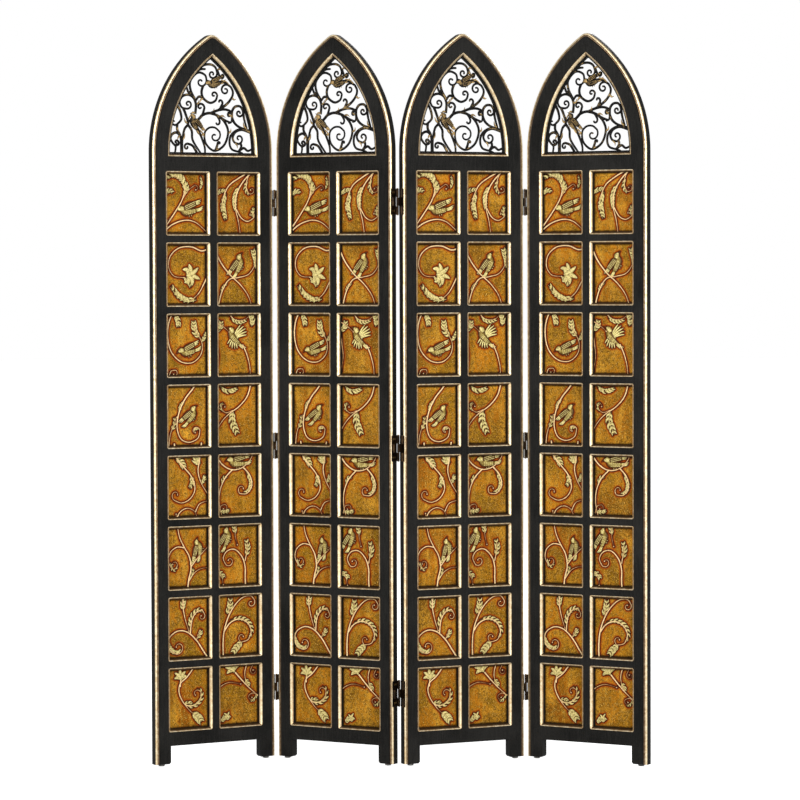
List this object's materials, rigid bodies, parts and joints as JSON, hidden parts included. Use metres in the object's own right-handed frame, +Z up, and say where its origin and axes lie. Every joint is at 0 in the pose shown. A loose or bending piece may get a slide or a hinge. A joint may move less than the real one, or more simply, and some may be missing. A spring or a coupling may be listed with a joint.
{
  "type": "folding screen",
  "caption": "Standing folding screen: pointed-arch lacquered panels hinged in a zigzag, each with a painted board behind a grid of glazing bars and a scrolled iron grille in its arch.",
  "frame": {"origin": "on the floor, at the middle of the bounding box of the screen as it stands in the picture", "axes": "+Z up, +X to the viewer's right along the row of panels, +Y away from the viewer, so the painted faces look along -Y"},
  "size_m": [1.2484, 0.2124, 1.83],
  "materials": {
    "black_lacquer": "satin black lacquer with gilt mouldings",
    "gilt_board": "gold-leaf ground with painted raised ornament",
    "iron": "blackened, with gilt rubbed on the birds",
    "hinge_brass": "dark antique",
    "glide_steel": "plain"
  },
  "bodies": {
    "panel_1": {"panel_1_stile_left": "black_lacquer", "panel_1_stile_right": "black_lacquer", "panel_1_bottom_rail": "black_lacquer", "panel_1_glazing_grid": "black_lacquer", "panel_1_painted_board": "gilt_board", "panel_1_arch_grille": "iron", "panel_1_glide_left": "glide_steel", "panel_1_glide_right": "glide_steel", "fold_1_hinge_1_leaf_a": "hinge_brass", "fold_1_hinge_1_pin": "hinge_brass", "fold_1_hinge_2_leaf_a": "hinge_brass", "fold_1_hinge_2_pin": "hinge_brass", "fold_1_hinge_3_leaf_a": "hinge_brass", "fold_1_hinge_3_pin": "hinge_brass"},
    "panel_2": {"panel_2_stile_left": "black_lacquer", "panel_2_stile_right": "black_lacquer", "panel_2_bottom_rail": "black_lacquer", "panel_2_glazing_grid": "black_lacquer", "panel_2_painted_board": "gilt_board", "panel_2_arch_grille": "iron", "panel_2_glide_left": "glide_steel", "panel_2_glide_right": "glide_steel", "fold_2_hinge_1_leaf_a": "hinge_brass", "fold_2_hinge_1_pin": "hinge_brass", "fold_1_hinge_1_leaf_b": "hinge_brass", "fold_2_hinge_2_leaf_a": "hinge_brass", "fold_2_hinge_2_pin": "hinge_brass", "fold_1_hinge_2_leaf_b": "hinge_brass", "fold_2_hinge_3_leaf_a": "hinge_brass", "fold_2_hinge_3_pin": "hinge_brass", "fold_1_hinge_3_leaf_b": "hinge_brass"},
    "panel_3": {"panel_3_stile_left": "black_lacquer", "panel_3_stile_right": "black_lacquer", "panel_3_bottom_rail": "black_lacquer", "panel_3_glazing_grid": "black_lacquer", "panel_3_painted_board": "gilt_board", "panel_3_arch_grille": "iron", "panel_3_glide_left": "glide_steel", "panel_3_glide_right": "glide_steel", "fold_3_hinge_1_leaf_a": "hinge_brass", "fold_3_hinge_1_pin": "hinge_brass", "fold_2_hinge_1_leaf_b": "hinge_brass", "fold_3_hinge_2_leaf_a": "hinge_brass", "fold_3_hinge_2_pin": "hinge_brass", "fold_2_hinge_2_leaf_b": "hinge_brass", "fold_3_hinge_3_leaf_a": "hinge_brass", "fold_3_hinge_3_pin": "hinge_brass", "fold_2_hinge_3_leaf_b": "hinge_brass"},
    "panel_4": {"panel_4_stile_left": "black_lacquer", "panel_4_stile_right": "black_lacquer", "panel_4_bottom_rail": "black_lacquer", "panel_4_glazing_grid": "black_lacquer", "panel_4_painted_board": "gilt_board", "panel_4_arch_grille": "iron", "panel_4_glide_left": "glide_steel", "panel_4_glide_right": "glide_steel", "fold_3_hinge_1_leaf_b": "hinge_brass", "fold_3_hinge_2_leaf_b": "hinge_brass", "fold_3_hinge_3_leaf_b": "hinge_brass"}
  },
  "joints": [
    {"name": "fold_1", "type": "hinge", "parent": "panel_2", "child": "panel_1", "pos_m": [-0.3166, 0.08294, 0.9], "axis": [0, 0, 1], "range_deg": [-59.17, 120.83]},
    {"name": "fold_2", "type": "hinge", "parent": "panel_2", "child": "panel_3", "pos_m": [-0.00454, -0.06197, 0.9], "axis": [0, 0, 1], "range_deg": [-54.67, 125.33]},
    {"name": "fold_3", "type": "hinge", "parent": "panel_3", "child": "panel_4", "pos_m": [0.31718, 0.05998, 0.9], "axis": [0, 0, 1], "range_deg": [-124.75, 55.25]}
  ]
}
